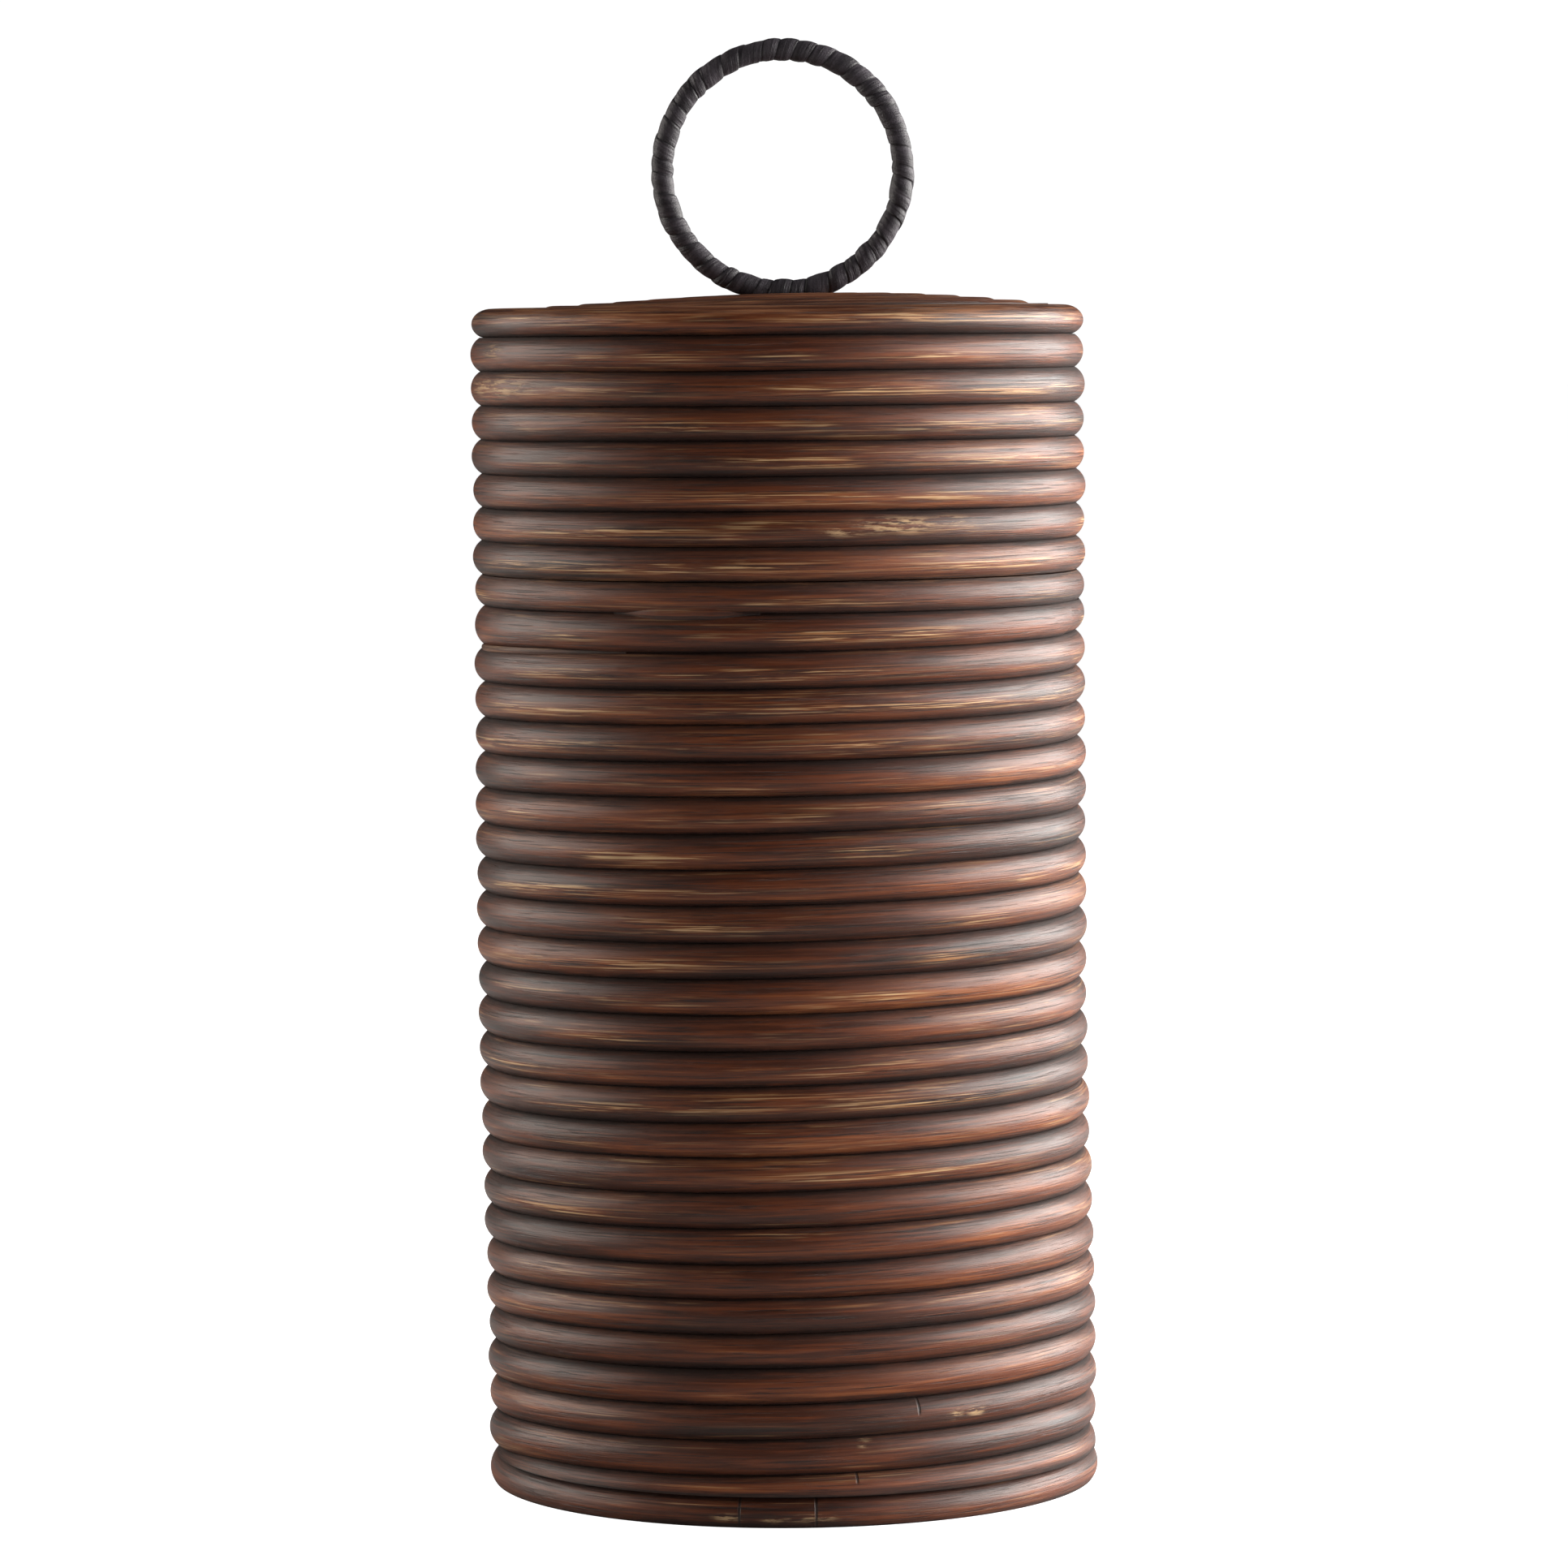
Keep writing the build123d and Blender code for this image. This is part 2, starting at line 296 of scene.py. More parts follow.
def coil_seam(turn):
    """The height of the seam above the coil at a running turn. Low down the coil climbs mostly
    across the front left; further up it climbs evenly, and a little less. Its last wedge is filled
    flush with the turn below, from the back round to the front left."""
    part = turn % 1
    low_down = 1 - ramp(turn / 13)
    front = ramp((part - 0.03) / 0.14) * (1 - ramp((part - 0.44) / 0.12))
    high_up = ramp((turn - 9) / 12)
    lean = 0.09 - 0.0085 * turn + 0.18 * low_down * front
    lean += 0.07 * high_up * np.cos(TAU * (part - 0.056))
    fade = ramp(turn / 0.15)
    wobble = 0.35 * MM * drift(np.maximum(turn, 0), 0.17, 11)
    height = FOOT_TOP + PITCH * turn + fade * (PITCH * lean + wobble)
    height += (RIM_BASE - height) * ramp((turn - 23.88) / 0.09)
    return np.clip(height, FOOT_TOP, RIM_BASE)


def bulge(turn, seed=21):
    """How far a pole stands out of the true cylinder."""
    return 0.45 * MM * drift(turn, 0.6, seed) + 0.12 * MM * drift(turn, 0.07, seed + 1)


def coil_pole(name, first, last):
    """The coil's pole from one running turn to another."""
    count = int((last - first) * TURN_STEPS) + 1
    turn = np.linspace(first, last, count)
    high = coil_seam(turn)
    low = np.where(turn < 1, FOOT_TOP, coil_seam(np.maximum(turn - 1, 0)))
    high = np.maximum(high, low + 0.05 * MM)
    centre = np.where(turn < 1, high - PITCH / 2, (low + high) / 2)
    centre = np.where(turn > 24.5, low + PITCH / 2, centre)
    thin = np.clip((high - low) / PITCH, 0, 1)
    outside = OUTER - 0.3 * MM + bulge(turn) - 0.8 * MM * (1 - thin)
    along = np.linspace(first, last, count + 1) * TAU * COIL + 3.1
    radius = np.maximum(POLE, (high - low) / 1.74)
    joints = START_ANGLE + TAU * np.array(JOINTS)
    angle = START_ANGLE + TAU * turn
    return wall_mesh(
        name, angle, low, high, centre, radius, outside, along, closed=False, joints=tuple(joints)
    )


POLE_COUNT = sum(name.startswith("coil_pole_") for name in frame["nodes"])
ends = [0.03]
for number in range(1, POLE_COUNT):
    ends.append((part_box(f"coil_pole_{number}")[1].z - FOOT_TOP) / PITCH - LATE_START)
ends.append(24.95)
BUTT_GAP = 0.02 * MM / (TAU * COIL)
JOINTS = [0.338, *ends[1:-1]]  # running turns at which a joint shows

shown = []
for number in range(1, POLE_COUNT + 1):
    name = f"coil_pole_{number}"
    made = coil_pole(f"wound_{name}", ends[number - 1], ends[number] - BUTT_GAP)
    shown.append((made, name, "body", "stained_rattan"))


# --- Level hoops ------------------------------------------------------------------------------------


def hoop(
    name, low, high, radius, outside, seed, join=90, edges=(False, False), middle=0.5, joints=()
):
    """A pole bent to a level circle. low and high are functions of angle, join is where its ends
    meet, in degrees, middle is where it is widest between its flats, and joints are the angles of any
    other joints, counted up from join in degrees."""
    angle = np.linspace(0, TAU, TURN_STEPS, endpoint=False) + math.radians(join)
    turn = np.linspace(0, 1, TURN_STEPS, endpoint=False)
    low, high = low(angle), high(angle)
    wander = 0.4 * MM * drift(turn, 0.3, seed, period=1)
    wander = wander + 0.12 * MM * drift(turn, 0.06, seed + 1, period=1)
    along = np.linspace(0, 1, TURN_STEPS + 1) * TAU * COIL + 1.7 * seed
    radius = np.full(TURN_STEPS, radius)
    centre = low + (high - low) * middle
    joints = tuple(np.radians([join, *joints, join + 360]))
    return wall_mesh(
        name, angle, low, high, centre, radius, outside + wander, along, True, edges, joints
    )


FILLING_SINK = 2.6 * MM  # how far the ends of a strip of filling go down into their groove


def filler(name, first, last, height, size, outside, blunt, pale, seed):
    """A thin strip of filling in a groove, from one angle to another in degrees. height is a function
    of the angle in radians, and size is half its width. blunt is the share of its length over which
    each end narrows and sinks, and pale, in metres, is how far from a seam its darkening looks. That
    darkening is partly stain and partly painted shade, and the ends go fully dark as painted shade."""
    angle = np.radians(np.linspace(first, last, int(last - first) * 6))
    share = np.linspace(0, 1, len(angle))
    taper = ramp(share / blunt) * ramp((1 - share) / blunt)
    size = size * (1 + 0.12 * drift(share, 0.12, seed)) * (0.5 + 0.5 * taper)
    middle = height(angle)
    reach = outside - FILLING_SINK * (1 - taper)
    along = np.linspace(0, math.radians(last - first) * OUTER, len(angle) + 1) + 90 + seed
    made = wall_mesh(
        name, angle, middle - size, middle + size, middle, size * 1.7, reach, along, closed=False
    )
    points = len(made.data.vertices)
    # Painted shade: the strip is darkened as a groove is, and its ends go fully dark over the light
    # their end faces catch
    seam_stain_and_shade = np.repeat(pale * taper, points // len(angle))
    made.data.attributes["seam"].data.foreach_set("value", seam_stain_and_shade.astype(np.float32))
    made.data.attributes["rise"].data.foreach_set("value", np.full(points, 0.3, np.float32))
    return made


def level(height, seed=None, swing=0.3 * MM):
    """A seam's height as a function of angle: level, or wandering a little where there is a seed."""

    def height_at(angle):
        if seed is None:
            return np.full(angle.shape, height)
        return height + swing * drift(angle % TAU, 0.9, seed, period=TAU)

    return height_at


made = hoop(
    "foot",
    level(0),
    level(FOOT_TOP),
    POLE,
    OUTER - 0.1 * MM,
    31,
    join=80,
    middle=0.4,
    joints=(260, 274),
)
shown.append((made, "foot_hoop", "body", "stained_rattan"))
made = hoop(
    "rim", level(RIM_BASE), level(PARTING), RIM_POLE, RIM_OUTER, 33, join=100, edges=(False, True)
)
shown.append((made, "rim_hoop", "body", "stained_rattan"))



def last_groove(angle):
    """The height of the groove that runs into the coil's last wedge."""
    return coil_seam(23 + (angle - START_ANGLE) / TAU)


# The seam under the rim is filled at the front left, and the groove below it holds a thin strip of
# filling left over from the coil's end
made = filler(
    "rim_filling", 237.5, 266.5, level(RIM_BASE), 2.9 * MM, OUTER - 1.7 * MM, 0.36, 5 * MM, 64
)
shown.append((made, None, "body", "stained_rattan"))
made = filler("groove_filling", 172, 240, last_groove, 1.3 * MM, OUTER - 1.9 * MM, 0.4, 1.6 * MM, 63)
shown.append((made, None, "body", "stained_rattan"))

PARTING_GAP = 0.35 * MM
seams = [level(PARTING + PARTING_GAP)]
seams += [level(PARTING + HOOP_HEIGHT * number, 40 + number) for number in range(1, LID_HOOPS)]
seams += [level(SHOULDER_BASE, 48, 0.45 * MM)]
for number in range(1, LID_HOOPS + 1):
    made = hoop(
        f"lid_wall_{number}",
        seams[number - 1],
        seams[number],
        POLE,
        OUTER - 0.2 * MM,
        50 + 2 * number,
        join=40 + 47 * number % 120,
        edges=(number == 1, False),
    )
    shown.append((made, f"lid_hoop_{number}", "lid", "stained_rattan"))


# --- The lid's top ----------------------------------------------------------------------------------


def dome(radius):
    """The height of a pole's centreline in the top, which climbs inwards and then levels off."""
    climb = DOME_STEP * (COIL - radius) / SPIRAL_PITCH
    limit = SPIRAL_TOP - SHOULDER_TOP
    return SHOULDER_TOP - POLE + limit * np.tanh(climb / limit)


def sag(side):
    """How far the top stands off its true dome: it sags to the left and stands proud to the right."""
    low = 1.7 * MM * np.exp(-(((side + 75 * MM) / (45 * MM)) ** 2))
    high = 0.6 * MM * np.exp(-(((side - 50 * MM) / (40 * MM)) ** 2))
    return high - low


def top_mesh(name, angle, inner, outer, centre, along, closed):
    """A pole bent round the lid's top. inner and outer are its seams' radii."""
    across, out = pole_section(inner, outer, centre, np.full(len(angle), POLE))
    side = across * np.cos(angle)[:, None]
    height = dome(centre)[:, None] + out + sag(side)
    height = np.maximum(height, BOARD_TOP)
    rings = np.stack([side, across * np.sin(angle)[:, None], height], axis=-1)
    values = {
        "seam": seam_distance(across, inner, outer),
        "rise": np.clip((across - inner[:, None]) / (outer - inner)[:, None], 0, 1),
        # Painted light: the whole top is painted lighter, standing in for its crests catching the light
        # from above
        "wear_and_top_light": np.full(across.shape, 0.4),
    }
    return mark_sharp(sweep_mesh(name, rings, along, section_grain(), values, closed))


def shoulder():
    """The top's outermost turn: an oval, flat below where it sits on the wall and inside where it
    meets the spiral."""
    join = math.radians(70)
    angle = np.linspace(0, TAU, TURN_STEPS, endpoint=False) + join
    turn = np.linspace(0, 1, TURN_STEPS, endpoint=False)
    wander = 0.35 * MM * drift(turn, 0.3, 71, period=1)
    low = seams[-1](angle)
    round_steps = np.radians(np.linspace(-65, 145, OUTER_STEPS + INNER_STEPS + 1))
    flattened = 0.77 * POLE
    out = POLE * np.cos(round_steps)[None, :] + wander[:, None]
    rise = flattened * np.sin(round_steps)[None, :]
    centre_radius = COIL - 0.6 * MM
    centre_height = SHOULDER_TOP - flattened
    reach = np.concatenate([centre_radius + out, np.full((TURN_STEPS, 1), SPIRAL_OUTER)], axis=1)
    height = np.concatenate([centre_height + rise + 0 * out, low[:, None]], axis=1)
    height[:, 0] = low
    reach[:, -1] = SPIRAL_OUTER
    height = np.maximum(height, low[:, None])
    rings = np.stack([reach * np.cos(angle)[:, None], reach * np.sin(angle)[:, None], height], axis=-1)
    along = np.linspace(0, 1, TURN_STEPS + 1) * TAU * COIL + 60.2
    across = np.append(np.linspace(-POLE, 1.6 * POLE, OUTER_STEPS + INNER_STEPS + 1), 2.6 * POLE)
    inner_gap = reach - SPIRAL_OUTER
    share = (height - low[:, None]) / (SHOULDER_TOP - SHOULDER_BASE)
    values = {
        "seam": np.minimum(height - low[:, None], inner_gap),
        "rise": np.clip(share - 0.15, 0, 1),
        "worn": scuff_at(angle[:, None], height, STREAKS),
        "scuff": scuff_at(angle[:, None], height, SCUFFS),
        # Painted light: lighter towards the shoulder's top edge, standing in for the light from above
        "wear_and_top_light": 0.55 * ramp((height - SHOULDER_TOP + 7 * MM) / (5 * MM)),
        "joint": joint_distance(angle, (join, join + TAU))[:, None] + 0 * height,
        "tick": np.ones(height.shape),
    }
    return mark_sharp(sweep_mesh("shoulder", rings, along, across, values, True))


def spiral():
    """The top's flat coil, winding inwards from the shoulder to the plug."""
    turns = (SPIRAL_OUTER - EYE) / SPIRAL_PITCH
    first, last = 0.04, turns + 0.96
    count = int((last - first) * TURN_STEPS * 0.8)
    turn = np.linspace(first, last, count)

    def seam(at):
        wobble = 0.3 * MM * drift(np.maximum(at, 0), 0.23, 81)
        inside = (at > 0.1) & (at < turns - 0.1)
        return np.clip(SPIRAL_OUTER - SPIRAL_PITCH * at + np.where(inside, wobble, 0), EYE, SPIRAL_OUTER)

    inner = seam(turn)
    outer = np.where(turn < 1, SPIRAL_OUTER, seam(np.maximum(turn - 1, 0)))
    outer = np.maximum(outer, inner + 0.05 * MM)
    centre = np.where(turn < 1, inner + SPIRAL_PITCH / 2, (inner + outer) / 2)
    centre = np.where(turn > turns, outer - SPIRAL_PITCH / 2, centre)
    angle = math.radians(200) + TAU * turn
    length = np.concatenate([[0], np.cumsum(centre[1:] * np.diff(angle))])
    along = np.append(length, length[-1] + 0.001) + 70
    return top_mesh("top_spiral", angle, inner, outer, centre, along, closed=False)


shown.append((shoulder(), "lid_shoulder_hoop", "lid", "stained_rattan"))
shown.append((spiral(), "lid_top_coil", "lid", "stained_rattan"))


# --- The handle's leather binding -------------------------------------------------------------------

WRAPS = 40
WRAP_STEPS = [0.0, 0.035, 0.09, 0.17, 0.27, 0.38, 0.5, 0.62, 0.73, 0.83, 0.91, 0.965]
SECTION_STEPS = 40
HANDLE_OUTER = (HANDLE_HIGH.x - HANDLE_LOW.x) / 2
HANDLE_SECTION = (HANDLE_HIGH.y - HANDLE_LOW.y) / 2
HANDLE_RING = HANDLE_OUTER - HANDLE_SECTION
HANDLE_CENTRE = Vector((0, 0, HANDLE_HIGH.z - HANDLE_OUTER))
HANDLE_FOOT = Vector((0, 0, HANDLE_LOW.z))
HANDLE_SHIFT = Vector((1.3 * MM, 0, 0))
HANDLE_LEAN = Euler((0, math.radians(1.5), 0)).to_matrix()


def lean_over(points):
    """The handle stands a little to the right of the middle and leans to the right."""
    turned = (np.asarray(points) - np.array(HANDLE_FOOT)) @ np.array(HANDLE_LEAN).T
    return turned + np.array(HANDLE_FOOT + HANDLE_SHIFT)


def binding():
    """Leather strip wound once round the ring's section for each wrap, as one helical grid whose rows
    follow the strip's edges."""
    steps = len(WRAP_STEPS)
    rows = WRAPS * steps
    row, column = np.meshgrid(np.arange(rows), np.arange(SECTION_STEPS), indexing="ij")
    share = np.array(WRAP_STEPS)[row % steps]
    wrap = row // steps
    round_section = column / SECTION_STEPS
    strip = (wrap - round_section) % WRAPS  # running place along the strip, in wraps
    edge = np.arange(WRAPS + 1) + 0.3 * np.append(drift(np.arange(WRAPS) * 1.0, 1.0, 91), 0)
    edge[-1] = edge[0] + WRAPS
    position = edge[wrap] + share * (edge[wrap + 1] - edge[wrap])
    ring_angle = TAU * (position - round_section) / WRAPS + math.radians(200)
    section_angle = TAU * round_section

    swell = 0.55 + 0.45 * drift(strip, 0.7, 93, period=WRAPS)
    crown = np.sin(math.pi * np.clip(share, 0, 1)) ** 0.65
    overlap = 1 - share
    crease = 0.12 * MM * drift(share * 9 + 17 * wrap, 1.0, 95) * np.sin(math.pi * share)
    proud = MM * (0.85 * swell * crown + 0.30 * overlap * (share > 0.01)) + crease
    base = HANDLE_SECTION - 0.65 * MM
    section = base + proud + 0.15 * MM * drift(strip, 2.3, 97, period=WRAPS)
    reach = HANDLE_RING + section * np.cos(section_angle)
    points = np.stack(
        [reach * np.cos(ring_angle), section * np.sin(section_angle), reach * np.sin(ring_angle)],
        axis=-1,
    ).reshape(-1, 3)
    points[:, 2] += HANDLE_CENTRE.z

    def index(row_number, column_number):
        """A point of the grid; past the last column it is the first column, one wrap back."""
        wrapped = column_number == SECTION_STEPS
        row_number = np.where(wrapped, row_number - steps, row_number) % rows
        return row_number * SECTION_STEPS + np.where(wrapped, 0, column_number)

    corners = np.stack(
        [index(row, column), index(row + 1, column), index(row + 1, column + 1), index(row, column + 1)],
        axis=-1,
    ).reshape(-1, 4)
    width = TAU * HANDLE_RING / WRAPS
    far_share = np.where((row % steps) == steps - 1, 1.0, np.array(WRAP_STEPS)[(row + 1) % steps])
    along = -(wrap - round_section) * TAU * HANDLE_SECTION
    along_next = along + TAU * HANDLE_SECTION / SECTION_STEPS
    uvs = np.stack(
        [
            np.stack([along, share * width], axis=-1),
            np.stack([along, far_share * width], axis=-1),
            np.stack([along_next, far_share * width], axis=-1),
            np.stack([along_next, share * width], axis=-1),
        ],
        axis=2,
    ).reshape(-1, 2)
    # edge marks each wrap's edges, which the leather paints darker as shade at the overlaps
    values = {"edge": np.exp(-((share / 0.10) ** 2)) + np.exp(-(((1 - share) / 0.07) ** 2))}
    return make_mesh("leather_binding", lean_over(points), corners.tolist(), uvs, values)


def core():
    """The steel ring inside the binding, forged a little uneven and butted together at the top."""
    angle = np.linspace(0, TAU, 180, endpoint=False)
    section = np.linspace(0, TAU, 14, endpoint=False)
    size = 3.3 * MM + 0.12 * MM * drift(angle, 0.25, 99, period=TAU)
    pinch = 0.35 * MM * np.exp(-(((angle - math.pi / 2) / 0.02) ** 2))
    size = (size - pinch)[:, None]
    reach = HANDLE_RING + size * np.cos(section)
    rings = np.stack(
        [
            reach * np.cos(angle)[:, None],
            size * np.sin(section) + 0 * reach,
            reach * np.sin(angle)[:, None] + HANDLE_CENTRE.z,
        ],
        axis=-1,
    )
    along = np.linspace(0, TAU * HANDLE_RING, len(angle) + 1)
    rings = lean_over(rings.reshape(-1, 3)).reshape(rings.shape)
    return sweep_mesh("ring_core", rings, along, section * 3.3 * MM, {}, closed=True)


shown.append((binding(), "handle_wrap", "lid", "leather_strip"))
shown.append((core(), "handle_ring", "lid", "steel"))


# --- Materials --------------------------------------------------------------------------------------


class Material:
    """A node material, with short ways to add and link its nodes."""

    def __init__(self, name):
        self.material = bpy.data.materials.new(name)
        self.material.use_nodes = True
        self.tree = self.material.node_tree
        self.shader = self.tree.nodes["Principled BSDF"]

    def add(self, kind, inputs=None, **settings):
        """A node of that kind. inputs maps socket names or numbers to values or to other sockets."""
        node = self.tree.nodes.new("ShaderNode" + kind)
        for key, value in settings.items():
            setattr(node, key, value)
        for key, value in (inputs or {}).items():
            self.put(node, key, value)
        return node

    def put(self, node, key, value):
        if isinstance(value, bpy.types.NodeSocket):
            self.tree.links.new(value, node.inputs[key])
        else:
            node.inputs[key].default_value = value

    def math(self, operation, first, second=0.0, clamp=False):
        node = self.add("Math", {0: first, 1: second}, operation=operation, use_clamp=clamp)
        return node.outputs[0]

    def between(self, value, low, high):
        """0 below low, 1 above high, smooth between."""
        node = self.add("MapRange", {"Value": value, "From Min": low, "From Max": high})
        node.interpolation_type = "SMOOTHSTEP"
        return node.outputs["Result"]

    def noise(self, vector, scale, detail=3.0, roughness=0.55, distortion=0.0):
        """Noise whose scale has a part for each axis of the vector."""
        mapped = self.add("Mapping", {"Vector": vector, "Scale": scale})
        inputs = {
            "Vector": mapped.outputs[0],
            "Scale": 1.0,
            "Detail": detail,
            "Roughness": roughness,
            "Distortion": distortion,
        }
        return self.add("TexNoise", inputs).outputs["Fac"]

    def mix(self, factor, first, second):
        node = self.add("Mix", data_type="RGBA")
        self.put(node, 0, factor)
        self.put(node, 6, first)
        self.put(node, 7, second)
        return node.outputs[2]

    def ramp(self, factor, stops):
        node = self.add("ValToRGB", {"Fac": factor})
        node.color_ramp.interpolation = "EASE"
        for position, colour in stops[2:]:
            node.color_ramp.elements.new(position)
        for element, (position, colour) in zip(node.color_ramp.elements, sorted(stops)):
            element.position = position
            element.color = (*colour, 1)
        return node.outputs["Color"]

    def attribute(self, name):
        return self.add("Attribute", attribute_name=name).outputs["Fac"]

    def finish(self, colour, roughness, bump, strength, distance, **values):
        """Wires the shader. values are uniform numbers set on its own sockets."""
        normal = self.add("Bump", {"Height": bump, "Strength": strength, "Distance": distance})
        self.put(self.shader, "Base Color", colour)
        self.put(self.shader, "Roughness", roughness)
        self.put(self.shader, "Normal", normal.outputs["Normal"])
        for key, value in values.items():
            self.shader.inputs[key.replace("_", " ").title().replace("Ior", "IOR")].default_value = value
        return self.material


def rattan():
    """Dark stained rattan under a satin lacquer: long fibres, rubbed golden streaks and near-black
    seams that are partly painted shade, a painted grey sheen on the poles' upper sides and painted
    light on the lid's top. The grain's UV map runs along and across the pole, in metres."""
    m = Material("stained_rattan")
    grain = m.add("UVMap", uv_map="grain").outputs["UV"]
    fibre = m.noise(grain, (55, 2300, 1), 4, 0.62, 0.4)
    strand = m.noise(grain, (21, 620, 1), 5, 0.62, 0.4)
    streak = m.noise(grain, (22, 1150, 1), 4, 0.6, 0.5)
    patch = m.noise(grain, (8, 120, 1), 3, 0.6)
    tone = m.noise(grain, (4, 36, 1), 3, 0.55)

    # The stain, with a grey sheen painted on each pole's upper side
    depth = m.math("ADD", m.math("MULTIPLY", strand, 0.45), m.math("MULTIPLY", tone, 0.55))
    colour = m.ramp(
        depth,
        [
            (0.38, (0.018, 0.0042, 0.0016)),
            (0.46, (0.064, 0.0140, 0.0038)),
            (0.54, (0.150, 0.0335, 0.0075)),
            (0.62, (0.285, 0.078, 0.0190)),
        ],
    )
    rise = m.attribute("rise")
    # Painted sheen: each pole's upper side is mixed towards grey, standing in for the lacquer reflecting
    # the lights
    painted_upper_sheen = m.math("MULTIPLY", m.between(rise, 0.45, 0.80), m.between(tone, 0.35, 0.6))
    colour = m.mix(m.math("MULTIPLY", painted_upper_sheen, 0.45), colour, (0.046, 0.020, 0.013, 1))

    # Streaks rubbed pale along the crests, rubbed edges and scuffs; the same lightening also paints
    # light on the lid's top and the shoulder's top edge
    wear_and_top_light = m.attribute("wear_and_top_light")
    scuff = m.attribute("scuff")
    place = m.add("TexCoord").outputs["Object"]
    level_there = m.add("SeparateXYZ", {0: place}).outputs[2]
    off_crest = m.math("ABSOLUTE", m.math("SUBTRACT", rise, 0.40))
    crest = m.math("SUBTRACT", 1.0, m.between(off_crest, 0.06, 0.24))
    lobe_patch = m.noise(grain, (9, 30, 1), 3, 0.5)
    stray_gold = m.math("MULTIPLY", m.between(lobe_patch, 0.50, 0.62), m.between(level_there, 0, 0.3))
    crest_gold = m.math("MULTIPLY", m.math("MAXIMUM", stray_gold, m.attribute("worn")), crest)
    off_gold = m.math("MULTIPLY", m.between(patch, 0.54, 0.66), 0.45)
    allowed = m.math("MAXIMUM", crest_gold, off_gold)
    long_lines = m.between(m.noise(grain, (6, 800, 1), 3, 0.55, 0.3), 0.57, 0.64)
    lines = m.math("MAXIMUM", m.between(streak, 0.51, 0.60), long_lines)
    gold = m.math("MULTIPLY", lines, allowed)
    fine_gold = m.math("MULTIPLY", m.between(fibre, 0.58, 0.68), allowed)
    gold = m.math("MAXIMUM", gold, m.math("MULTIPLY", fine_gold, 0.5))
    gold_tint = m.mix(m.between(streak, 0.52, 0.66), (0.44, 0.19, 0.065, 1), (0.74, 0.49, 0.25, 1))
    # Lightened edges: real wear at the parting, and painted light on the lid's top and the shoulder's
    # top edge
    worn_edge_and_top_light = m.math("MULTIPLY", wear_and_top_light, m.between(strand, 0.42, 0.62))
    pits = m.noise(grain, (70, 520, 1), 5, 0.7)
    worn_scuff = m.math("MULTIPLY", m.between(scuff, 0.0, 0.9), m.between(pits, 0.47, 0.56))
    worn_scuff = m.math("MAXIMUM", worn_scuff, m.between(scuff, 0.9, 1.2))
    colour = m.mix(m.math("MULTIPLY", gold, 0.9), colour, gold_tint)
    colour = m.mix(m.math("MULTIPLY", worn_edge_and_top_light, 0.75), colour, (0.34, 0.165, 0.075, 1))
    colour = m.mix(m.math("MULTIPLY", worn_scuff, 0.85), colour, (0.62, 0.40, 0.21, 1))

    # Fine cracks, joints and ragged grooves, where the stain lies thick; the grooves' and seams'
    # darkening is partly painted shade between the poles
    cracks = m.math("SUBTRACT", 1.0, m.between(streak, 0.34, 0.43))
    colour = m.mix(m.math("MULTIPLY", cracks, 0.8), colour, (0.012, 0.005, 0.004, 1))

    apart = m.math("ABSOLUTE", m.attribute("joint"))
    joint = m.math("SUBTRACT", 1.0, m.between(apart, 0.0002, 0.0008))
    joint = m.math("MULTIPLY", joint, m.attribute("tick"))
    colour = m.mix(m.math("MULTIPLY", joint, 0.85), colour, (0.010, 0.004, 0.003, 1))

    seam = m.attribute("seam")
    uneven = m.math("ADD", m.math("MULTIPLY", patch, 0.6), m.math("MULTIPLY", pits, 0.4))
    uneven = m.math("MULTIPLY", m.math("SUBTRACT", uneven, 0.5), 0.010)
    seam = m.math("ADD", seam, uneven)
    # Painted shade: near a seam the colour goes almost black, partly for stain pooled there and partly
    # for the shade between poles
    groove_stain_and_shade = m.math("SUBTRACT", 1.0, m.between(seam, -0.0005, 0.0042))
    groove_stain_and_shade = m.math("MULTIPLY", groove_stain_and_shade, m.math("SUBTRACT", 1.0, m.math("MULTIPLY", wear_and_top_light, 0.5)))
    colour = m.mix(m.math("MULTIPLY", groove_stain_and_shade, 0.78), colour, (0.022, 0.006, 0.0026, 1))
    # Painted shade: a near-black line along each seam, partly stain and partly the shade in the crevice
    # between poles
    core = m.math("SUBTRACT", 1.0, m.between(seam, 0.0002, 0.0012))
    colour = m.mix(m.math("MULTIPLY", core, 0.7), colour, (0.010, 0.0030, 0.0016, 1))

    # The lacquer, and the relief under it
    rough = m.math("ADD", 0.28, m.math("MULTIPLY", strand, 0.16))
    rough = m.math("ADD", rough, m.math("MULTIPLY", fibre, 0.14))
    rough = m.math("ADD", rough, m.math("MULTIPLY", groove_stain_and_shade, 0.35))
    rough = m.math("ADD", rough, m.math("MULTIPLY", worn_scuff, 0.2), clamp=True)
    height = m.math("ADD", m.math("MULTIPLY", fibre, 0.7), m.math("MULTIPLY", strand, 1.2))
    height = m.math("SUBTRACT", height, m.math("MULTIPLY", cracks, 0.8))
    height = m.math("SUBTRACT", height, m.math("MULTIPLY", worn_scuff, 0.5))
    height = m.math("SUBTRACT", height, joint)
    return m.finish(
        colour, rough, height, 0.6, 0.0005, coat_weight=0.22, coat_roughness=0.32, ior=1.42
    )


